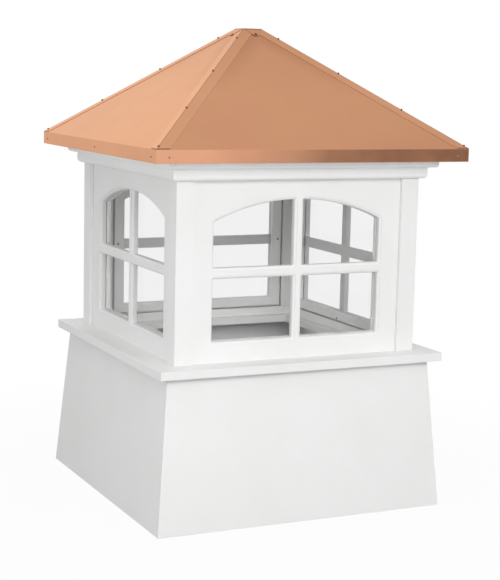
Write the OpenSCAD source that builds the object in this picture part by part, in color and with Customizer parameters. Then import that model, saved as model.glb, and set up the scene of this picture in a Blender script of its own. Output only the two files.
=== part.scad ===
// Barn cupola: tapered base, glazed square body and hipped copper roof.
// Origin at the centre of the base's lower rim, +Z up, front face towards -Y.

/* [Base] */
// Width across the base at its lower rim
base_w = 914; // [850:1:1100]
// Width across the base just under the sill
base_top_w = 840; // [700:1:1000]
// Height of the base
base_h = 444; // [250:1:700]
// Thickness of the base panels
base_panel_t = 19; // [12:1:30]

/* [Sill] */
// How far the sill stands out from the top of the base
sill_overhang = 32; // [10:1:60]
// Thickness of the sill boards
sill_t = 25; // [15:1:40]
// Width of sill that shows outside the corner posts
sill_step = 64.5; // [40:0.5:90]
// Width of sill that shows inside the window panels
sill_ledge = 43.5; // [20:0.5:80]

/* [Corner posts] */
// Height of the posts, from the sill to the crown
post_h = 519; // [400:1:700]
// Width of each outer face of a post
post_face_w = 56; // [45:1:80]
// Thickness of a post in front of the window panels
post_front_t = 12; // [8:1:20]
// Thickness of a post behind the window panels
post_back_t = 17; // [10:1:22]
// Width of each inner face of a post, from the panel's inner face
post_inner_w = 50.5; // [30:0.5:60]
// Depth of the grooves that hold the window panels, from the edge of the outer face
groove_depth = 13.5; // [8:0.5:15]
// Room left at the bottom of each groove
groove_gap = 0.5; // [0:0.1:0.8]

/* [Windows] */
// Thickness of the window panels
panel_t = 20; // [12:1:25]
// Width of the panel that shows beside the opening
stile_w = 65.5; // [40:0.5:120]
// Height of the rail under the opening
bottom_rail_h = 60; // [45:1:90]
// Height of the rail over the top of the arch
top_rail_h = 57.5; // [30:0.5:80]
// Rise of the arch above its spring
arch_rise = 60.5; // [20:0.5:90]
// Thickness of the panes
pane_t = 3; // [2:0.5:6]
// Room between the edges of a pane and its inner frame and the posts and the cleat
pane_gap = 6; // [1:0.5:8]
// How far a pane and its inner frame reach past the opening above
pane_lap = 38; // [10:1:45]
// Height of the cleats behind the window panels
cleat_h = 25.5; // [15:0.5:40]

/* [Crown] */
// Height of the crown's lower step
lower_step_h = 33.5; // [18:0.5:45]
// How far the lower step stands out from the corner posts
lower_step_out = 18; // [10:1:30]
// Radius of the lower step's rounded bottom edge
lower_step_r = 12; // [2:1:16]
// Height of the crown's upper step
upper_step_h = 21; // [14:0.5:40]
// How far the upper step stands out from the corner posts
upper_step_out = 42; // [32:1:60]
// Radius of the upper step's rounded bottom edge
upper_step_r = 9; // [2:1:12]
// Width of crown and soffit that shows inside the window panels
crown_ledge = 25.5; // [15:0.5:60]

/* [Roof] */
// How far the eaves stand out from the corner posts
eave_overhang = 103; // [75:1:160]
// Height of the fascia
fascia_h = 37.5; // [32:0.5:60]
// Slope of the roof in degrees
roof_pitch = 36; // [30:0.5:45]
// Width of the flat top
flat_top_w = 62; // [40:1:120]
// Thickness of the copper roof sheets
copper_t = 2; // [1:0.5:3]
// Thickness of the roof deck
deck_t = 18; // [15:1:25]
// Thickness of the soffit boards
soffit_t = 19; // [15:1:22]
// Width of each flange of a hip cap
hip_flange_w = 30; // [20:1:45]
// Thickness of the hip caps
hip_t = 1; // [0.5:0.5:3]
// Thickness of the peak cap
peak_t = 1; // [0.5:0.5:3]
// Length of the peak cap's tabs down the slope
peak_tab_len = 34; // [15:1:60]
// Width of a tab at its lower end
peak_tab_end_w = 14; // [8:1:38]
// How far the fold of a tab stops short of the flat top's corners
peak_tab_inset = 3; // [1:0.5:6]

/* [Hidden] */

$fn = 96;

// Turns that carry a front piece to each side; a corner piece stands at the left end of its side
front_angle = 0;
right_angle = 90;
back_angle = 180;
left_angle = 270;

white = [0.95, 0.95, 0.94];
glazing = [0.80, 0.88, 0.90, 0.35];
copper = [0.80, 0.56, 0.42];
plywood = [0.76, 0.63, 0.46];

// Levels, from the base up
sill_z = base_h;
body_z = sill_z + sill_t;
cleat_top_z = body_z + cleat_h;
crown_z = body_z + post_h;
upper_step_z = crown_z + lower_step_h;
eave_z = upper_step_z + upper_step_h;
fascia_top_z = eave_z + fascia_h;
deck_seat_z = eave_z + soffit_t;

// Distances from the centre to each face, from the base in to the body and out to the eaves
sill_out = base_top_w / 2 + sill_overhang;
post_out = sill_out - sill_step;
panel_out = post_out - post_front_t;
panel_in = panel_out - panel_t;
post_in = panel_in - post_back_t;
sill_in = panel_in - sill_ledge;
crown_in = panel_in - crown_ledge;
eave_out = post_out + eave_overhang;
deck_out = eave_out - copper_t;
flat_out = flat_top_w / 2;

// Distances along a side, from its middle
post_face_end = post_out - post_face_w;
post_inner_end = panel_in - post_inner_w;
groove_end = post_face_end + groove_depth;
panel_end = groove_end - groove_gap;
opening_end = post_face_end - stile_w;
pane_end = post_inner_end - pane_gap;

// Arched opening
opening_z = body_z + bottom_rail_h;
opening_top_z = crown_z - top_rail_h;
arch_r = (pow(opening_end, 2) + pow(arch_rise, 2)) / (2 * arch_rise);

// Lower edge and height of a pane and its inner frame
pane_z = cleat_top_z + pane_gap;
pane_h = opening_top_z + pane_lap - pane_z;

// A plan and a height that take in the whole part, for the cuts
reach = 2 * eave_out + base_w;
total_h = fascia_top_z + reach;

// Distance in plan, square to the side, across a hip cap's flange
slope = tan(roof_pitch);
hip_strip = hip_flange_w * sqrt(1 + 1 / (1 + slope * slope));

// Height of the roof at a distance from the centre, lifted square to the slope
function roof_z(from_centre, lift) =
    fascia_top_z + (eave_out - from_centre) * slope + lift / cos(roof_pitch);

// Turns a front piece to another side
module turned(angle) {
    rotate([0, 0, angle]) children();
}

// Runs a section drawn as (distance from centre, height) along the front, mitred at both ends
module front_run() {
    intersection() {
        translate([reach, 0, 0])
            rotate([90, 0, -90])
                linear_extrude(2 * reach) children();
        linear_extrude(total_h) polygon([[0, 0], [-reach, -reach], [reach, -reach]]);
    }
}

// A flat board along the front, mitred at both ends
module mitred_board(outer, inner, low, thick) {
    translate([0, 0, low])
        linear_extrude(thick)
            polygon([[-outer, -outer], [outer, -outer], [inner, -inner], [-inner, -inner]]);
}

// A board whose bottom outer edge is rounded, as a section
module rounded_section(outer, inner, low, thick, radius) {
    difference() {
        translate([inner, low]) square([outer - inner, thick]);
        difference() {
            translate([outer - radius, low]) square(radius);
            translate([outer - radius, low + radius]) circle(radius);
        }
    }
}

// A layer of the roof between two lifts and two distances from the centre, as a section
module roof_layer(low_lift, high_lift, inner, outer) {
    polygon([
        [inner, roof_z(inner, low_lift)],
        [outer, roof_z(outer, low_lift)],
        [outer, roof_z(outer, high_lift)],
        [inner, roof_z(inner, high_lift)]
    ]);
}

module base_panel(angle) {
    lean = atan((base_w - base_top_w) / 2 / base_h);
    inset = base_panel_t / cos(lean);
    color(white)
        turned(angle)
            front_run()
                polygon([
                    [base_w / 2 - inset, 0],
                    [base_w / 2, 0],
                    [base_top_w / 2, base_h],
                    [base_top_w / 2 - inset, base_h]
                ]);
}

module sill(angle) {
    color(white)
        turned(angle)
            mitred_board(sill_out, sill_in, sill_z, sill_t);
}

// A post, grooved for two window panels and notched at its foot for the cleats
module post(angle) {
    color(white)
        turned(angle)
            translate([0, 0, body_z])
                difference() {
                    linear_extrude(post_h)
                        polygon([
                            [-post_out, -post_out],
                            [-post_face_end, -post_out],
                            [-post_face_end, -panel_out],
                            [-groove_end, -panel_out],
                            [-groove_end, -panel_in],
                            [-post_inner_end, -panel_in],
                            [-post_inner_end, -post_in],
                            [-post_in, -post_in],
                            [-post_in, -post_inner_end],
                            [-panel_in, -post_inner_end],
                            [-panel_in, -groove_end],
                            [-panel_out, -groove_end],
                            [-panel_out, -post_face_end],
                            [-post_out, -post_face_end]
                        ]);
                    translate([-panel_in, -panel_in, -cleat_h])
                        cube([panel_in, panel_in, 2 * cleat_h]);
                }
}

// The arched opening, as an outline of width and height
module opening_outline() {
    intersection() {
        translate([-opening_end, opening_z])
            square([2 * opening_end, opening_top_z - opening_z]);
        translate([0, opening_top_z - arch_r]) circle(arch_r);
    }
}

module window_panel(angle) {
    color(white)
        turned(angle)
            difference() {
                translate([-panel_end, -panel_out, body_z]) cube([2 * panel_end, panel_t, post_h]);
                rotate([90, 0, 0]) linear_extrude(reach) opening_outline();
            }
}

module pane(angle) {
    color(glazing)
        turned(angle)
            translate([-pane_end, -panel_in, pane_z]) cube([2 * pane_end, pane_t, pane_h]);
}

// The frame that clamps a pane to its window panel, flush with the posts' inner faces
module inner_frame(angle) {
    inner_frame_t = post_back_t - pane_t;
    color(white)
        turned(angle)
            difference() {
                translate([-pane_end, pane_t - panel_in, pane_z])
                    cube([2 * pane_end, inner_frame_t, pane_h]);
                rotate([90, 0, 0]) linear_extrude(reach) opening_outline();
            }
}

module cleat(angle) {
    color(white)
        turned(angle)
            mitred_board(panel_in, post_in, body_z, cleat_h);
}

module crown(angle) {
    color(white)
        turned(angle)
            front_run()
                union() {
                    rounded_section(post_out + lower_step_out, crown_in,
                        crown_z, lower_step_h, lower_step_r);
                    rounded_section(post_out + upper_step_out, crown_in,
                        upper_step_z, upper_step_h, upper_step_r);
                }
}

module soffit(angle) {
    color(white)
        turned(angle)
            mitred_board(deck_out, crown_in, eave_z, soffit_t);
}

module roof_deck(angle) {
    color(plywood)
        turned(angle)
            front_run()
                intersection() {
                    roof_layer(-copper_t - deck_t, -copper_t, flat_out, deck_out);
                    translate([0, deck_seat_z]) square([deck_out, total_h]);
                }
}

module roof_sheet(angle) {
    color(copper)
        turned(angle)
            front_run()
                union() {
                    roof_layer(-copper_t, 0, flat_out, deck_out);
                    polygon([
                        [deck_out, eave_z],
                        [eave_out, eave_z],
                        [eave_out, fascia_top_z],
                        [deck_out, roof_z(deck_out, 0)]
                    ]);
                }
}

// One flange of a hip cap, on the front slope beside the left hip, up to the slope's middle
module hip_flange() {
    intersection() {
        front_run() roof_layer(0, hip_t, flat_out, eave_out);
        linear_extrude(total_h)
            polygon([[0, 0], [-reach, -reach], [hip_strip - reach, -reach], [0, -hip_strip]]);
    }
}

module hip_cap(angle) {
    color(copper)
        turned(angle)
            union() {
                hip_flange();
                mirror([1, -1, 0]) hip_flange();
            }
}

// One tab of the peak cap, on the front slope, over the hip caps
module peak_tab() {
    tab_out = flat_out + peak_tab_len * cos(roof_pitch);
    fold_end = flat_out - peak_tab_inset;
    intersection() {
        front_run() roof_layer(hip_t, hip_t + peak_t, flat_out, tab_out);
        linear_extrude(total_h)
            polygon([
                [-fold_end, -flat_out],
                [-peak_tab_end_w / 2, -tab_out],
                [peak_tab_end_w / 2, -tab_out],
                [fold_end, -flat_out]
            ]);
    }
}

module peak_cap() {
    low = roof_z(flat_out, hip_t);
    high = roof_z(flat_out, hip_t + peak_t);
    color(copper)
        union() {
            translate([-flat_out, -flat_out, low]) cube([flat_top_w, flat_top_w, high - low]);
            for (angle = [front_angle, right_angle, back_angle, left_angle])
                turned(angle) peak_tab();
        }
}

base_panel(front_angle);  // front_base_panel
base_panel(right_angle);  // right_base_panel
base_panel(back_angle);  // back_base_panel
base_panel(left_angle);  // left_base_panel
sill(front_angle);  // front_sill
sill(right_angle);  // right_sill
sill(back_angle);  // back_sill
sill(left_angle);  // left_sill
post(front_angle);  // front_left_post
post(right_angle);  // front_right_post
post(back_angle);  // back_right_post
post(left_angle);  // back_left_post
window_panel(front_angle);  // front_window_panel
window_panel(right_angle);  // right_window_panel
window_panel(back_angle);  // back_window_panel
window_panel(left_angle);  // left_window_panel
pane(front_angle);  // front_pane
pane(right_angle);  // right_pane
pane(back_angle);  // back_pane
pane(left_angle);  // left_pane
inner_frame(front_angle);  // front_inner_frame
inner_frame(right_angle);  // right_inner_frame
inner_frame(back_angle);  // back_inner_frame
inner_frame(left_angle);  // left_inner_frame
cleat(front_angle);  // front_cleat
cleat(right_angle);  // right_cleat
cleat(back_angle);  // back_cleat
cleat(left_angle);  // left_cleat
crown(front_angle);  // front_crown
crown(right_angle);  // right_crown
crown(back_angle);  // back_crown
crown(left_angle);  // left_crown
soffit(front_angle);  // front_soffit
soffit(right_angle);  // right_soffit
soffit(back_angle);  // back_soffit
soffit(left_angle);  // left_soffit
roof_deck(front_angle);  // front_roof_deck
roof_deck(right_angle);  // right_roof_deck
roof_deck(back_angle);  // back_roof_deck
roof_deck(left_angle);  // left_roof_deck
roof_sheet(front_angle);  // front_roof_sheet
roof_sheet(right_angle);  // right_roof_sheet
roof_sheet(back_angle);  // back_roof_sheet
roof_sheet(left_angle);  // left_roof_sheet
hip_cap(front_angle);  // front_left_hip_cap
hip_cap(right_angle);  // front_right_hip_cap
hip_cap(back_angle);  // back_right_hip_cap
hip_cap(left_angle);  // back_left_hip_cap
peak_cap();
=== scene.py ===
from math import atan2, cos, pi, radians, sin, sqrt, tan

import bpy
from mathutils import Matrix, Vector
from mathutils.geometry import delaunay_2d_cdt


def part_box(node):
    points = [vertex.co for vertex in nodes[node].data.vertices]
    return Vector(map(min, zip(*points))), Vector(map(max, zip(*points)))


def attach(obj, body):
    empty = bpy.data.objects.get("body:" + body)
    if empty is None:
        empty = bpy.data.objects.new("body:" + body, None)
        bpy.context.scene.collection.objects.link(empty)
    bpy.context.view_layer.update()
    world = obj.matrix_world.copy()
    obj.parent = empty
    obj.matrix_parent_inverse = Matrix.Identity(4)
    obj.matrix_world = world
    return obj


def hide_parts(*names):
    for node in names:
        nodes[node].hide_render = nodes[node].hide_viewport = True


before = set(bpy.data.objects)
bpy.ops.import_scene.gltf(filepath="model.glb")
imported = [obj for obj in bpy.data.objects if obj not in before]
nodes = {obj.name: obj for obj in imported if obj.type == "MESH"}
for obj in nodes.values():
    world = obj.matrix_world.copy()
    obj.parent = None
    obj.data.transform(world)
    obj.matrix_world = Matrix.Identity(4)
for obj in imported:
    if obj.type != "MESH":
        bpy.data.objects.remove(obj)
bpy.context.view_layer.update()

SIDES = ["front", "right", "back", "left"]
CORNERS = ["front_left", "front_right", "back_right", "back_left"]

# Sizes in metres, from the CAD boxes where a node has them
panel_low, panel_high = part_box("front_window_panel")
_, frame_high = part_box("front_inner_frame")
_, sheet_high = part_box("front_roof_sheet")
cap_low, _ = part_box("peak_cap")
panel_end = panel_high.x
panel_front, panel_back = panel_low.y, panel_high.y
body_z, crown_z = panel_low.z, panel_high.z
eave_out = sheet_high.x
flat_top_out = -sheet_high.y
inner_face = frame_high.y
tab_foot_out = -cap_low.y

# The arched opening of a window and its bars
OPENING_END = 0.266
OPENING_Z, OPENING_TOP_Z = 0.529, 0.9305
ARCH_RISE = 0.0605
UPRIGHT_W, CROSSBAR_H = 0.0285, 0.0320
CROSSBAR_Z = 0.7243
LIGHT_R = 0.003
STEP_OUT, STEP_DEPTH, ROUND_R = 0.0075, 0.0028, 0.0065
BACK_EASE = 0.0008

# The roof
ROOF_PITCH = radians(36)
FASCIA_TOP_Z = 1.080
HIP_T = 0.001

# Rivets along each hip, at these distances from the peak of the two slopes, and screws
HIP_RIVETS = (0.109, 0.325, 0.547, 0.762)
FASCIA_SCREW_X, FASCIA_SCREW_Z = (-0.4525, 0.0, 0.4525), 1.059
INNER_SCREWS = ((-0.287, 0.7263), (0.0, 0.5055), (0.287, 0.7263))
TAB_SCREW_INSET = 0.006
TAB_SCREW_R, FRONT_TAB_SCREW_R = 0.0030, 0.0050

# Their heads: radius, height, skirt below the surface and radius of the dimple
RIVET_HEAD = (0.0031, 0.0028, 0.0022, 0.0011)
FASCIA_HEAD = (0.0030, 0.0018, 0.0006, 0.0011)
INNER_HEAD = (0.0034, 0.0018, 0.0004, 0.0012)

# Tints of the copper, some of them painted shade and a painted reflection, and where they show
HAZE_TINT, HAZE_SHARE = (0.62, 0.30, 0.17), 0.10
PEAK_TINT, PEAK_SHARE = (0.52, 0.24, 0.13), 0.34
PEAK_DARKER_Z = (1.22, 1.41)
HIP_SHADE_TINT, HIP_SHADE_SHARE = (0.50, 0.22, 0.12), 1.6
HIP_SHADE_OFF = (0.036, 0.110)
FASCIA_REFLECTION_TINT = (1.0, 1.01, 1.08)
FOLD_AND_FOOT_SHADE_TINT, CUT_SHADE_TINT = (0.20, 0.075, 0.035), (0.44, 0.20, 0.105)
HIP_LINE_W, HIP_LINE_DARK = 0.0040, 0.65
PEAK_LINE_W, PEAK_LINE_DARK = 0.0060, 1.0
FOOT_SHADE_H, FOOT_SHADE_DARK = 0.0035, 0.8
CUT_FACING, CUT_ROUGH = 0.35, 0.7

WHOLE = (1.0, 1.0, 1.0)


def node_tree(name):
    material = bpy.data.materials.new(name)
    material.use_nodes = True
    tree = material.node_tree
    for n in list(tree.nodes):
        tree.nodes.remove(n)
    out = tree.nodes.new("ShaderNodeOutputMaterial")
    return material, tree, out


def noise(tree, coord, scale, detail=3.0, rough=0.5):
    n = tree.nodes.new("ShaderNodeTexNoise")
    n.inputs["Scale"].default_value = scale
    n.inputs["Detail"].default_value = detail
    n.inputs["Roughness"].default_value = rough
    tree.links.new(coord, n.inputs["Vector"])
    return n.outputs["Fac"]


def ramp(tree, fac, stops):
    n = tree.nodes.new("ShaderNodeValToRGB")
    elements = n.color_ramp.elements
    while len(elements) > 1:
        elements.remove(elements[-1])
    for i, (pos, col) in enumerate(stops):
        e = elements[0] if i == 0 else elements.new(pos)
        e.position = pos
        e.color = (*col, 1.0)
    tree.links.new(fac, n.inputs["Fac"])
    return n.outputs["Color"]


def remap(tree, value, start, stop, low, high, kind="LINEAR"):
    n = tree.nodes.new("ShaderNodeMapRange")
    n.interpolation_type = kind
    n.inputs["From Min"].default_value = start
    n.inputs["From Max"].default_value = stop
    n.inputs["To Min"].default_value = low
    n.inputs["To Max"].default_value = high
    tree.links.new(value, n.inputs["Value"])
    return n.outputs["Result"]


# The middle half of a noise, spread from low to high
def spread(tree, fac, low, high):
    return remap(tree, fac, 0.25, 0.75, low, high)


def scaled_coord(tree, scale):
    coord = tree.nodes.new("ShaderNodeTexCoord")
    mapping = tree.nodes.new("ShaderNodeMapping")
    mapping.inputs["Scale"].default_value = scale
    tree.links.new(coord.outputs["Object"], mapping.inputs["Vector"])
    return mapping.outputs["Vector"]


def bump(tree, height, strength, distance, normal=None):
    n = tree.nodes.new("ShaderNodeBump")
    n.inputs["Strength"].default_value = strength
    n.inputs["Distance"].default_value = distance
    tree.links.new(height, n.inputs["Height"])
    if normal is not None:
        tree.links.new(normal, n.inputs["Normal"])
    return n.outputs["Normal"]


def math(tree, operation, *values):
    n = tree.nodes.new("ShaderNodeMath")
    n.operation = operation
    for i, v in enumerate(values):
        if isinstance(v, (int, float)):
            n.inputs[i].default_value = v
        else:
            tree.links.new(v, n.inputs[i])
    return n.outputs[0]


def blend_colour(tree, fac, a, b, mode="MIX"):
    n = tree.nodes.new("ShaderNodeMix")
    n.data_type = "RGBA"
    n.blend_type = mode
    for socket, value in ((n.inputs[0], fac), (n.inputs[6], a), (n.inputs[7], b)):
        if isinstance(value, (int, float)):
            socket.default_value = value
        elif isinstance(value, tuple):
            socket.default_value = (*value, 1.0)
        else:
            tree.links.new(value, socket)
    return n.outputs[2]


# White board: satin, faintly mottled, with a fine skin
def white_board(name, darker, bright):
    material, tree, out = node_tree(name)
    p = tree.nodes.new("ShaderNodeBsdfPrincipled")
    coord = scaled_coord(tree, WHOLE)
    broad = noise(tree, coord, 5.0, 4.0, 0.55)
    colour = ramp(tree, broad, [(0.30, darker), (0.70, bright)])
    fine = noise(tree, coord, 900.0, 2.0)
    tree.links.new(colour, p.inputs["Base Color"])
    tree.links.new(spread(tree, noise(tree, coord, 24.0), 0.36, 0.46), p.inputs["Roughness"])
    tree.links.new(bump(tree, fine, 0.10, 0.0004), p.inputs["Normal"])
    p.inputs["IOR"].default_value = 1.46
    tree.links.new(p.outputs["BSDF"], out.inputs["Surface"])
    return material


# Clear sheet: lamps shine through it, and it mirrors a little
def clear_sheet():
    material, tree, out = node_tree("clear_sheet")
    p = tree.nodes.new("ShaderNodeBsdfPrincipled")
    coord = scaled_coord(tree, WHOLE)
    stops = [(0.3, (0.932, 0.934, 0.934)), (0.7, (0.941, 0.943, 0.943))]
    tint = ramp(tree, noise(tree, coord, 3.0), stops)
    tree.links.new(tint, p.inputs["Base Color"])
    p.inputs["Roughness"].default_value = 0.0
    p.inputs["IOR"].default_value = 1.08
    p.inputs["Transmission Weight"].default_value = 1.0
    clear = tree.nodes.new("ShaderNodeBsdfTransparent")
    clear.inputs["Color"].default_value = (0.80, 0.80, 0.80, 1.0)
    path = tree.nodes.new("ShaderNodeLightPath")
    mix = tree.nodes.new("ShaderNodeMixShader")
    tree.links.new(path.outputs["Is Shadow Ray"], mix.inputs[0])
    tree.links.new(p.outputs["BSDF"], mix.inputs[1])
    tree.links.new(clear.outputs["BSDF"], mix.inputs[2])
    tree.links.new(mix.outputs["Shader"], out.inputs["Surface"])
    return material


# A line that is darkest where off is nought and fades over a width
def fold_line(tree, off, width, dark):
    fade = math(tree, "MINIMUM", math(tree, "DIVIDE", off, width), dark)
    return math(tree, "SUBTRACT", dark, fade)


# Copper sheet: satin metal with soft warm and rosy patches and a slight waviness, darker
# near the peak. Sheets get painted shade along the hips and a painted pinker reflection on
# the fascia. Caps are painted paler as a highlight, with painted shade on their cut edges and
# at their foot, and a dark line along their folds
def copper_sheet(name, light, rosy, fold):
    material, tree, out = node_tree(name)
    p = tree.nodes.new("ShaderNodeBsdfPrincipled")
    coord = scaled_coord(tree, WHOLE)
    patches = noise(tree, coord, 3.4, 2.0, 0.5)
    colour = ramp(tree, patches, [(0.30, rosy), (0.70, light)])
    haze = noise(tree, scaled_coord(tree, (9.0, 9.0, 30.0)), 1.0, 4.0, 0.6)
    colour = blend_colour(tree, spread(tree, haze, 0.0, HAZE_SHARE), colour, HAZE_TINT)
    place = tree.nodes.new("ShaderNodeTexCoord")
    split = tree.nodes.new("ShaderNodeSeparateXYZ")
    tree.links.new(place.outputs["Object"], split.inputs["Vector"])
    ax = math(tree, "ABSOLUTE", split.outputs["X"])
    ay = math(tree, "ABSOLUTE", split.outputs["Y"])
    high = remap(tree, split.outputs["Z"], *PEAK_DARKER_Z, 0.0, PEAK_SHARE)
    colour = blend_colour(tree, high, colour, PEAK_TINT)
    off = math(tree, "ABSOLUTE", math(tree, "SUBTRACT", ax, ay))
    if fold == "hip":
        line = fold_line(tree, off, HIP_LINE_W, HIP_LINE_DARK)
    elif fold == "peak":
        out_from_peak = math(tree, "MAXIMUM", ax, ay)
        off = math(tree, "ABSOLUTE", math(tree, "SUBTRACT", out_from_peak, flat_top_out))
        line = fold_line(tree, off, PEAK_LINE_W, PEAK_LINE_DARK)
    else:
        # Painted shade: the sheets are darkened beside the hip caps, more so towards the peak
        near = remap(tree, off, *HIP_SHADE_OFF, HIP_SHADE_SHARE, 0.0)
        darker = math(tree, "MULTIPLY", near, high)
        colour = blend_colour(tree, darker, colour, HIP_SHADE_TINT)
        # Painted reflection: the fascia, bent from the same sheet, is tinted pinker than the slopes
        fascia = math(tree, "LESS_THAN", split.outputs["Z"], FASCIA_TOP_Z)
        fascia_reflection = blend_colour(tree, 1.0, colour, FASCIA_REFLECTION_TINT, "MULTIPLY")
        colour = blend_colour(tree, fascia, colour, fascia_reflection)
    rough = spread(tree, noise(tree, coord, 11.0, 3.0), 0.17, 0.25)
    p.inputs["Metallic"].default_value = 1.0
    if fold:
        geometry = tree.nodes.new("ShaderNodeNewGeometry")
        facing = tree.nodes.new("ShaderNodeSeparateXYZ")
        tree.links.new(geometry.outputs["True Normal"], facing.inputs["Vector"])
        # Painted shade: the caps' cut edges are dark, standing in for the shadow line along the flanges'
        # edges
        cut = math(tree, "LESS_THAN", facing.outputs["Z"], CUT_FACING)
        # Painted shade: a dark band at a cap's foot, where it stands off the fascia; it shares its tint
        # with the dark fold line
        foot_shade = math(tree, "LESS_THAN", split.outputs["Z"], FASCIA_TOP_Z + FOOT_SHADE_H)
        dark = math(tree, "MAXIMUM", line, math(tree, "MULTIPLY", foot_shade, FOOT_SHADE_DARK))
        colour = blend_colour(tree, dark, colour, FOLD_AND_FOOT_SHADE_TINT)
        colour = blend_colour(tree, cut, colour, CUT_SHADE_TINT)
        tree.links.new(math(tree, "SUBTRACT", 1.0, cut), p.inputs["Metallic"])
        rough = math(tree, "MAXIMUM", rough, math(tree, "MULTIPLY", cut, CUT_ROUGH))
    tree.links.new(colour, p.inputs["Base Color"])
    p.inputs["Specular Tint"].default_value = (1.0, 0.85, 0.72, 1.0)
    tree.links.new(rough, p.inputs["Roughness"])
    wave = bump(tree, noise(tree, coord, 2.2, 0.0), 0.10, 0.010)
    fine = noise(tree, coord, 320.0, 2.0)
    tree.links.new(bump(tree, fine, 0.03, 0.0002, wave), p.inputs["Normal"])
    tree.links.new(p.outputs["BSDF"], out.inputs["Surface"])
    return material


# Screws: browned copper with paler worn patches
def screw_metal(name, brown, worn):
    material, tree, out = node_tree(name)
    p = tree.nodes.new("ShaderNodeBsdfPrincipled")
    coord = scaled_coord(tree, WHOLE)
    colour = ramp(tree, noise(tree, coord, 420.0, 3.0), [(0.3, brown), (0.75, worn)])
    tree.links.new(colour, p.inputs["Base Color"])
    p.inputs["Metallic"].default_value = 0.35
    tree.links.new(spread(tree, noise(tree, coord, 260.0), 0.38, 0.58), p.inputs["Roughness"])
    tree.links.new(p.outputs["BSDF"], out.inputs["Surface"])
    return material


# Plywood: long pale grain that follows the boards' length, with darker veins
def plywood():
    material, tree, out = node_tree("plywood")
    p = tree.nodes.new("ShaderNodeBsdfPrincipled")
    grain = noise(tree, scaled_coord(tree, (5.0, 5.0, 70.0)), 1.0, 6.0, 0.62)
    veins = noise(tree, scaled_coord(tree, (9.0, 9.0, 240.0)), 1.0, 3.0)
    stops = [(0.28, (0.29, 0.185, 0.10)), (0.52, (0.42, 0.29, 0.17)), (0.75, (0.48, 0.36, 0.23))]
    colour = ramp(tree, grain, stops)
    colour = blend_colour(tree, spread(tree, veins, 0.0, 0.30), colour, (0.24, 0.14, 0.07))
    tree.links.new(colour, p.inputs["Base Color"])
    tree.links.new(spread(tree, grain, 0.62, 0.78), p.inputs["Roughness"])
    tree.links.new(bump(tree, veins, 0.25, 0.0006), p.inputs["Normal"])
    tree.links.new(p.outputs["BSDF"], out.inputs["Surface"])
    return material


WHITE = white_board("white_board", (0.845, 0.845, 0.838), (0.875, 0.876, 0.872))
# The crown's trim is a paler copy of the white board: painted light that makes up for the shade under
# the eave
PAINTED_LIGHT_TRIM = white_board("white_trim_painted_lighter", (0.905, 0.905, 0.900), (0.930, 0.931, 0.928))
GLASS = clear_sheet()
COPPER = copper_sheet("copper_sheet", (0.86, 0.438, 0.245), (0.82, 0.398, 0.226), "")
# Caps are painted paler than the sheets: a painted highlight standing in for the light their flanges
# catch
HIP_COPPER = copper_sheet("hip_copper", (0.91, 0.470, 0.270), (0.87, 0.434, 0.252), "hip")
PEAK_COPPER = copper_sheet("peak_copper", (0.88, 0.458, 0.265), (0.85, 0.428, 0.248), "peak")
SCREW = screw_metal("brown_screw", (0.13, 0.048, 0.024), (0.26, 0.105, 0.055))
PALE_SCREW = screw_metal("pale_screw", (0.38, 0.185, 0.110), (0.52, 0.260, 0.155))
PLY = plywood()


ROUND_FROM_ANGLE = 0.5
SMOOTH_ANGLE = radians(35)
MITRE_OFF = 0.0004
WELD_GAP = 0.00001
PANE_AIR = 0.0007


def empty_group(name):
    group = bpy.data.node_groups.new(name, "GeometryNodeTree")
    for way in ("INPUT", "OUTPUT"):
        group.interface.new_socket("Geometry", in_out=way, socket_type="NodeSocketGeometry")
    return group, group.nodes.new("NodeGroupInput"), group.nodes.new("NodeGroupOutput")


# Edges that get a small round: those sharper than about 29 degrees, but for mitres if asked
def edge_group(name, skip_mitres):
    group, start, end = empty_group(name)
    n, link = group.nodes, group.links
    bare = n.new("GeometryNodeRemoveAttribute")
    bare.inputs["Name"].default_value = "custom_normal"
    link.new(start.outputs[0], bare.inputs["Geometry"])
    angle = n.new("GeometryNodeInputMeshEdgeAngle")
    picked = math(group, "GREATER_THAN", angle.outputs["Unsigned Angle"], ROUND_FROM_ANGLE)
    if skip_mitres:
        place = n.new("GeometryNodeInputPosition")
        split = n.new("ShaderNodeSeparateXYZ")
        link.new(place.outputs[0], split.inputs[0])
        ax = math(group, "ABSOLUTE", split.outputs["X"])
        ay = math(group, "ABSOLUTE", split.outputs["Y"])
        off = math(group, "ABSOLUTE", math(group, "SUBTRACT", ax, ay))
        picked = math(group, "MULTIPLY", picked, math(group, "GREATER_THAN", off, MITRE_OFF))
    store = n.new("GeometryNodeStoreNamedAttribute")
    store.data_type, store.domain = "FLOAT", "EDGE"
    store.inputs["Name"].default_value = "bevel_weight_edge"
    link.new(bare.outputs["Geometry"], store.inputs["Geometry"])
    link.new(picked, store.inputs["Value"])
    link.new(store.outputs["Geometry"], end.inputs[0])
    return group


# Smooth shading, but for edges sharper than about 35 degrees
def smooth_group():
    group, start, end = empty_group("smooth_by_angle")
    n, link = group.nodes, group.links
    faces = n.new("GeometryNodeSetShadeSmooth")
    faces.domain = "FACE"
    link.new(start.outputs[0], faces.inputs["Geometry"])
    angle = n.new("GeometryNodeInputMeshEdgeAngle")
    soft = math(group, "LESS_THAN", angle.outputs["Unsigned Angle"], SMOOTH_ANGLE)
    edges = n.new("GeometryNodeSetShadeSmooth")
    edges.domain = "EDGE"
    link.new(faces.outputs["Geometry"], edges.inputs["Geometry"])
    link.new(soft, edges.inputs["Shade Smooth"])
    link.new(edges.outputs["Geometry"], end.inputs[0])
    return group


MITRED = edge_group("round_edges_but_mitres", True)
PLAIN = edge_group("round_edges", False)
SMOOTH = smooth_group()


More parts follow.
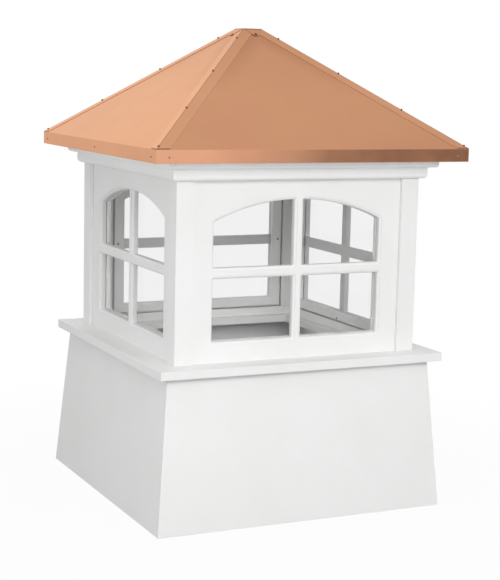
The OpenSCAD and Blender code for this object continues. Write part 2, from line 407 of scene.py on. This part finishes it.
# A material, rounded edges and, on a pane, a hair of air on every side
def dress(name, material, width, group, segments=2, air=0.0):
    obj = nodes[name]
    obj.data.materials.clear()
    obj.data.materials.append(material)
    weld = obj.modifiers.new("weld", "WELD")
    weld.merge_threshold = WELD_GAP
    if air:
        shrink = obj.modifiers.new("air", "DISPLACE")
        shrink.mid_level = 0.0
        shrink.strength = -air
    pick = obj.modifiers.new("pick_edges", "NODES")
    pick.node_group = group
    if width:
        bevel = obj.modifiers.new("round_edges", "BEVEL")
        bevel.limit_method = "WEIGHT"
        bevel.width = width
        bevel.segments = segments
    shade = obj.modifiers.new("shade", "NODES")
    shade.node_group = SMOOTH
    flat = obj.modifiers.new("flat_faces", "WEIGHTED_NORMAL")
    flat.keep_sharp = True
    flat.weight = 100


for side in SIDES:
    dress(f"{side}_base_panel", WHITE, 0.0010, MITRED)
    dress(f"{side}_sill", WHITE, 0.0015, MITRED, 3)
    dress(f"{side}_cleat", WHITE, 0.0008, MITRED)
    dress(f"{side}_crown", PAINTED_LIGHT_TRIM, 0.0010, MITRED)
    dress(f"{side}_soffit", WHITE, 0.0008, MITRED)
    dress(f"{side}_roof_deck", PLY, 0.0006, MITRED)
    dress(f"{side}_roof_sheet", COPPER, 0.0008, MITRED)
    dress(f"{side}_pane", GLASS, 0.0004, PLAIN, 1, PANE_AIR)
    dress(f"{side}_inner_frame", WHITE, 0.0010, PLAIN)
for corner in CORNERS:
    dress(f"{corner}_post", WHITE, 0.0014, PLAIN, 3)
    dress(f"{corner}_hip_cap", HIP_COPPER, 0.0, MITRED)
dress("peak_cap", PEAK_COPPER, 0.0, PLAIN)


def new_piece(name, points, faces, material, turn=0, smooth=radians(30)):
    mesh = bpy.data.meshes.new(name)
    mesh.from_pydata([Vector(p) for p in points], [], faces)
    mesh.transform(Matrix.Rotation(turn * pi / 2, 4, "Z"))
    mesh.materials.append(material)
    mesh.polygons.foreach_set("use_smooth", [True] * len(mesh.polygons))
    mesh.set_sharp_from_angle(angle=smooth)
    mesh.validate()
    mesh.update()
    obj = bpy.data.objects.new(name, mesh)
    bpy.context.scene.collection.objects.link(obj)
    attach(obj, "root")
    return obj


# An arc of (anchor, outward direction) pairs, which can be moved out by any offset
def arc_pairs(centre, radius, start, stop, count):
    pairs = []
    for i in range(count + 1):
        a = start + (stop - start) * i / count
        n = Vector((cos(a), sin(a)))
        pairs.append((centre + radius * n, n))
    return pairs


def light_outline(upper, mirrored):
    inner, outer = UPRIGHT_W / 2, OPENING_END
    low = CROSSBAR_Z + CROSSBAR_H / 2 if upper else OPENING_Z
    r = LIGHT_R
    pairs = arc_pairs(Vector((inner + r, low + r)), r, pi, 1.5 * pi, 5)
    pairs += arc_pairs(Vector((outer - r, low + r)), r, 1.5 * pi, 2 * pi, 5)
    if upper:
        big = (OPENING_END ** 2 + ARCH_RISE ** 2) / (2 * ARCH_RISE)
        hub = Vector((0.0, OPENING_TOP_Z - big))
        right = Vector((outer - r, hub.y + sqrt((big - r) ** 2 - (outer - r) ** 2)))
        left = Vector((inner + r, hub.y + sqrt((big - r) ** 2 - (inner + r) ** 2)))
        a = atan2(right.y - hub.y, right.x)
        b = atan2(left.y - hub.y, left.x)
        pairs += arc_pairs(right, r, 0.0, a, 4)
        pairs += arc_pairs(hub, big, a, b, 26)[1:-1]
        pairs += arc_pairs(left, r, b, pi, 5)
    else:
        high = CROSSBAR_Z - CROSSBAR_H / 2
        pairs += arc_pairs(Vector((outer - r, high - r)), r, 0.0, 0.5 * pi, 5)
        pairs += arc_pairs(Vector((inner + r, high - r)), r, 0.5 * pi, pi, 5)
    if mirrored:
        pairs = [(Vector((-p.x, p.y)), Vector((-n.x, n.y))) for p, n in reversed(pairs)]
    return pairs


# The moulded edge of a light, as (offset from the light, depth from the face) rows
def edge_rows():
    depth = panel_back - panel_front
    rows = [(STEP_OUT, 0.0), (STEP_OUT, STEP_DEPTH)]
    for i in range(8):
        t = 0.5 * pi * i / 7
        rows.append((ROUND_R * (1 - sin(t)), STEP_DEPTH + ROUND_R * (1 - cos(t))))
    rows += [(0.0, depth - BACK_EASE), (BACK_EASE, depth)]
    return rows


def inside(p, loop):
    hit = False
    for a, b in zip(loop, loop[1:] + loop[:1]):
        if (a.y > p.y) != (b.y > p.y) and p.x < (b.x - a.x) * (p.y - a.y) / (b.y - a.y) + a.x:
            hit = not hit
    return hit


# Triangles between a rectangle and the loops in it
def fill_between(frame_loop, loops):
    flat, edges = [], []
    for loop in [frame_loop, *loops]:
        first = len(flat)
        flat += loop
        edges += [(first + i, first + (i + 1) % len(loop)) for i in range(len(loop))]
    verts, _, faces, origin, _, _ = delaunay_2d_cdt(flat, edges, [], 0, 1e-7)
    keep = []
    for f in faces:
        centre = sum((verts[i] for i in f), Vector((0.0, 0.0))) / len(f)
        if not any(inside(centre, loop) for loop in loops):
            keep.append([origin[i][0] for i in f])
    return keep


def window_panel(side, turn):
    rows = edge_rows()
    outlines = [light_outline(u, m) for u in (False, True) for m in (False, True)]
    corners = ((-panel_end, body_z), (panel_end, body_z), (panel_end, crown_z), (-panel_end, crown_z))
    frame_loop = [Vector(c) for c in corners]
    points, faces = [], []
    for y in (panel_front, panel_back):
        points += [(p.x, y, p.y) for p in frame_loop]
    ring = []
    for pairs in outlines:
        starts = []
        for offset, depth in rows:
            starts.append(len(points))
            for p, n in pairs:
                points.append((p.x + n.x * offset, panel_front + depth, p.y + n.y * offset))
        ring.append((len(pairs), starts))
        for low, high in zip(starts, starts[1:]):
            for i in range(len(pairs)):
                j = (i + 1) % len(pairs)
                faces.append((low + i, high + i, high + j, low + j))
    for row, first, flip in ((0, 0, False), (-1, 4, True)):
        loops = [[p + n * rows[row][0] for p, n in pairs] for pairs in outlines]
        index = list(range(first, first + 4))
        for count, starts in ring:
            index += range(starts[row], starts[row] + count)
        for f in fill_between(frame_loop, loops):
            f = [index[i] for i in f]
            faces.append(f[::-1] if flip else f)
    for i in range(4):
        j = (i + 1) % 4
        faces.append((i, 4 + i, 4 + j, j))
    obj = new_piece(f"{side}_barred_panel", points, faces, WHITE, turn)
    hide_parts(f"{side}_window_panel")


for turn, side in enumerate(SIDES):
    window_panel(side, turn)


# Turned heads: rings of (radius, height) about the axis of each spot
def head_mesh(profile, spots, segments=20):
    points, faces = [], []
    for centre, axis in spots:
        axis = Vector(axis).normalized()
        side = axis.orthogonal().normalized()
        cross = axis.cross(side)
        first = len(points)
        for radius, height in profile:
            for i in range(segments):
                a = 2 * pi * i / segments
                points.append(Vector(centre) + axis * height + radius * (cos(a) * side + sin(a) * cross))
        for row in range(len(profile) - 1):
            for i in range(segments):
                j = (i + 1) % segments
                a, b = first + row * segments, first + (row + 1) * segments
                faces.append((a + i, a + j, b + j, b + i))
        top = first + (len(profile) - 1) * segments
        faces.append(tuple(range(top, top + segments)))
        faces.append(tuple(range(first + segments - 1, first - 1, -1)))
    return points, faces


def dome(radius, height, skirt, dimple):
    rows = [(radius * 0.96, -skirt), (radius, 0.0)]
    for i in range(1, 6):
        t = 0.5 * pi * i / 6
        rows.append((radius * cos(t), height * sin(t)))
    rows += [(dimple, height * 0.985), (dimple * 0.9, height * 0.70), (dimple * 0.3, height * 0.66)]
    return rows


def roof_z(from_centre):
    return FASCIA_TOP_Z + (eave_out - from_centre) * tan(ROOF_PITCH)


def slope_point(x, from_centre, lift):
    n = Vector((0.0, -sin(ROOF_PITCH), cos(ROOF_PITCH)))
    return Vector((x, -from_centre, roof_z(from_centre))) + n * lift, n


# Rivets along each hip, which point midway between its two slopes
hip_long = eave_out * sqrt(2 + tan(ROOF_PITCH) ** 2)
for turn, corner in enumerate(CORNERS):
    spots = []
    axis = Vector((-sin(ROOF_PITCH), -sin(ROOF_PITCH), 2 * cos(ROOF_PITCH))).normalized()
    for along in HIP_RIVETS:
        out = eave_out * along / hip_long
        spots.append((Vector((-out, -out, roof_z(out))) + axis * HIP_T, axis))
    points, faces = head_mesh(dome(*RIVET_HEAD), spots)
    new_piece(f"{corner}_hip_rivets", points, faces, SCREW, turn)

# Screws in the fascia, in the peak cap's tab and in the inner frame of each side
for turn, side in enumerate(SIDES):
    spots = [((x, -eave_out, FASCIA_SCREW_Z), (0, -1, 0)) for x in FASCIA_SCREW_X]
    points, faces = head_mesh(dome(*FASCIA_HEAD), spots)
    new_piece(f"{side}_fascia_screws", points, faces, PALE_SCREW, turn)

    spots = [slope_point(0.0, tab_foot_out - TAB_SCREW_INSET, 2 * HIP_T)]
    metal, radius = (SCREW, FRONT_TAB_SCREW_R) if side == "front" else (PALE_SCREW, TAB_SCREW_R)
    points, faces = head_mesh(dome(radius, 0.5 * radius, 0.0006, 0.3 * radius), spots)
    new_piece(f"{side}_tab_screw", points, faces, metal, turn)

    spots = [((x, inner_face, z), (0, 1, 0)) for x, z in INNER_SCREWS]
    points, faces = head_mesh(dome(*INNER_HEAD), spots)
    new_piece(f"{side}_inner_screws", points, faces, SCREW, turn)


# Rays from the camera, straight or through glass
def seen_directly(tree, path):
    unscattered = math(tree, "LESS_THAN", path.outputs["Diffuse Depth"], 0.5)
    through = math(tree, "MULTIPLY", path.outputs["Is Transmission Ray"], unscattered)
    return math(tree, "MAXIMUM", path.outputs["Is Camera Ray"], through)


FLOOR_SIZE, FLOOR_Z = 14.0, -0.0004
FLOOR_TONE, MIRRORED_TONE = 0.48, 0.74
SHADE_FROM, SHADE_TO, SHADE = 0.6, 1.9, 0.96


# Floor: white to the camera and through glass, pale in mirrors, a shade darker round the object
def floor():
    material, tree, out = node_tree("floor")
    p = tree.nodes.new("ShaderNodeBsdfDiffuse")
    p.inputs["Color"].default_value = (FLOOR_TONE, FLOOR_TONE, FLOOR_TONE, 1.0)
    place = tree.nodes.new("ShaderNodeNewGeometry")
    far = tree.nodes.new("ShaderNodeVectorMath")
    far.operation = "LENGTH"
    tree.links.new(place.outputs["Position"], far.inputs[0])
    share = remap(tree, far.outputs["Value"], SHADE_FROM, SHADE_TO, SHADE, 1.0, "SMOOTHSTEP")
    path = tree.nodes.new("ShaderNodeLightPath")
    seen = seen_directly(tree, path)
    white = tree.nodes.new("ShaderNodeEmission")
    white.inputs["Color"].default_value = (1.0, 1.0, 1.0, 1.0)
    pale = tree.nodes.new("ShaderNodeEmission")
    pale.inputs["Color"].default_value = (MIRRORED_TONE, MIRRORED_TONE, MIRRORED_TONE, 1.0)
    mirrored = tree.nodes.new("ShaderNodeMixShader")
    tree.links.new(path.outputs["Is Glossy Ray"], mirrored.inputs[0])
    tree.links.new(p.outputs["BSDF"], mirrored.inputs[1])
    tree.links.new(pale.outputs["Emission"], mirrored.inputs[2])
    mix = tree.nodes.new("ShaderNodeMixShader")
    tree.links.new(math(tree, "MULTIPLY", seen, share), mix.inputs[0])
    tree.links.new(mirrored.outputs["Shader"], mix.inputs[1])
    tree.links.new(white.outputs["Emission"], mix.inputs[2])
    tree.links.new(mix.outputs["Shader"], out.inputs["Surface"])
    size = FLOOR_SIZE
    square = ((-size, -size), (size, -size), (size, size), (-size, size))
    mesh = bpy.data.meshes.new("floor")
    mesh.from_pydata([(x, y, FLOOR_Z) for x, y in square], [], [(0, 1, 2, 3)])
    mesh.materials.append(material)
    obj = bpy.data.objects.new("floor", mesh)
    bpy.context.scene.collection.objects.link(obj)


# A card that stands on the floor and shows in the copper alone
def card(name, left, right, height, colour):
    material, tree, out = node_tree(name)
    glow = tree.nodes.new("ShaderNodeEmission")
    glow.inputs["Color"].default_value = (*colour, 1.0)
    tree.links.new(glow.outputs["Emission"], out.inputs["Surface"])
    mesh = bpy.data.meshes.new(name)
    rim = [(*left, 0.0), (*right, 0.0), (*right, height), (*left, height)]
    mesh.from_pydata(rim, [], [(0, 1, 2, 3)])
    mesh.materials.append(material)
    obj = bpy.data.objects.new(name, mesh)
    bpy.context.scene.collection.objects.link(obj)
    obj.visible_camera = False
    obj.visible_diffuse = False
    obj.visible_transmission = False
    obj.visible_shadow = False


SKY_LOW, SKY_RISE = 0.54, 0.24
MIRRORED_SKY = ((0.0, 0.80), (0.25, 0.92), (0.50, 0.95), (0.75, 0.82), (0.90, 0.70), (1.0, 0.62))


# Studio surroundings: brighter overhead, with a paler band at mid height and a darker right
# side in mirrors, and white where the camera looks past the object
def surroundings():
    world = bpy.data.worlds.new("studio")
    bpy.context.scene.world = world
    world.use_nodes = True
    tree = world.node_tree
    for n in list(tree.nodes):
        tree.nodes.remove(n)
    out = tree.nodes.new("ShaderNodeOutputWorld")
    coord = tree.nodes.new("ShaderNodeTexCoord")
    split = tree.nodes.new("ShaderNodeSeparateXYZ")
    tree.links.new(coord.outputs["Generated"], split.inputs[0])
    up = math(tree, "MAXIMUM", split.outputs["Z"], 0.0)
    mirrored = ramp(tree, up, [(height, (tone, tone, tone)) for height, tone in MIRRORED_SKY])
    path = tree.nodes.new("ShaderNodeLightPath")
    soft = tree.nodes.new("ShaderNodeBackground")
    tree.links.new(math(tree, "MULTIPLY_ADD", up, SKY_RISE, SKY_LOW), soft.inputs["Strength"])
    sheen = tree.nodes.new("ShaderNodeBackground")
    tree.links.new(mirrored, sheen.inputs["Color"])
    side = remap(tree, split.outputs["X"], 0.44, 0.62, 1.02, 0.72)
    tree.links.new(side, sheen.inputs["Strength"])
    white = tree.nodes.new("ShaderNodeBackground")
    for n in (soft, white):
        n.inputs["Color"].default_value = (1.0, 1.0, 1.0, 1.0)
    lit = tree.nodes.new("ShaderNodeMixShader")
    tree.links.new(path.outputs["Is Glossy Ray"], lit.inputs[0])
    tree.links.new(soft.outputs["Background"], lit.inputs[1])
    tree.links.new(sheen.outputs["Background"], lit.inputs[2])
    mix = tree.nodes.new("ShaderNodeMixShader")
    seen = seen_directly(tree, path)
    tree.links.new(seen, mix.inputs[0])
    tree.links.new(lit.outputs["Shader"], mix.inputs[1])
    tree.links.new(white.outputs["Background"], mix.inputs[2])
    tree.links.new(mix.outputs["Shader"], out.inputs["Surface"])


def lamp(name, place, target, size, power):
    data = bpy.data.lights.new(name, "AREA")
    data.shape = "RECTANGLE"
    data.size, data.size_y = size
    data.energy = power
    obj = bpy.data.objects.new(name, data)
    obj.location = place
    obj.rotation_euler = (Vector(target) - Vector(place)).to_track_quat("-Z", "Y").to_euler()
    bpy.context.scene.collection.objects.link(obj)
    obj.visible_camera = False
    obj.visible_glossy = False


# Camera at the photograph's viewpoint
def camera():
    data = bpy.data.cameras.new("camera")
    data.sensor_fit = "AUTO"
    data.sensor_width = 36.0
    data.lens = 92.2267
    data.clip_start, data.clip_end = 0.05, 100.0
    obj = bpy.data.objects.new("camera", data)
    right = Vector((0.90426, -0.42636, 0.02325))
    up = Vector((0.04286, 0.14482, 0.98853))
    forward = Vector((0.42484, 0.89290, -0.14923))
    place = Vector((-1.94929, -4.15237, 1.30547))
    obj.matrix_world = Matrix((
        (right.x, up.x, -forward.x, place.x),
        (right.y, up.y, -forward.y, place.y),
        (right.z, up.z, -forward.z, place.z),
        (0.0, 0.0, 0.0, 1.0),
    ))
    bpy.context.scene.collection.objects.link(obj)
    bpy.context.scene.camera = obj


floor()
card("white_card", (-0.6, -6.0), (2.76, -6.0), 1.6, (1.0, 1.0, 1.0))
card("dark_card", (2.76, -6.0), (6.5, -6.0), 1.6, (0.20, 0.18, 0.155))
surroundings()
# Lamps: place, what they face, size and power in watts
lamp("key", (-0.71, -5.07, 2.98), (0.0, 0.0, 0.7), (3.0, 1.4), 83.0)
lamp("near", (-1.6, -2.0, 0.95), (0.0, 0.0, 0.95), (0.6, 0.6), 3.8)
lamp("left", (-2.2, -0.5, 0.95), (0.0, 0.0, 0.95), (0.8, 0.3), 5.2)
lamp("front", (0.2, -3.2, 1.5), (0.0, -0.4, 0.47), (1.2, 0.4), 11.9)
camera()
bpy.context.scene.view_settings.view_transform = "Standard"
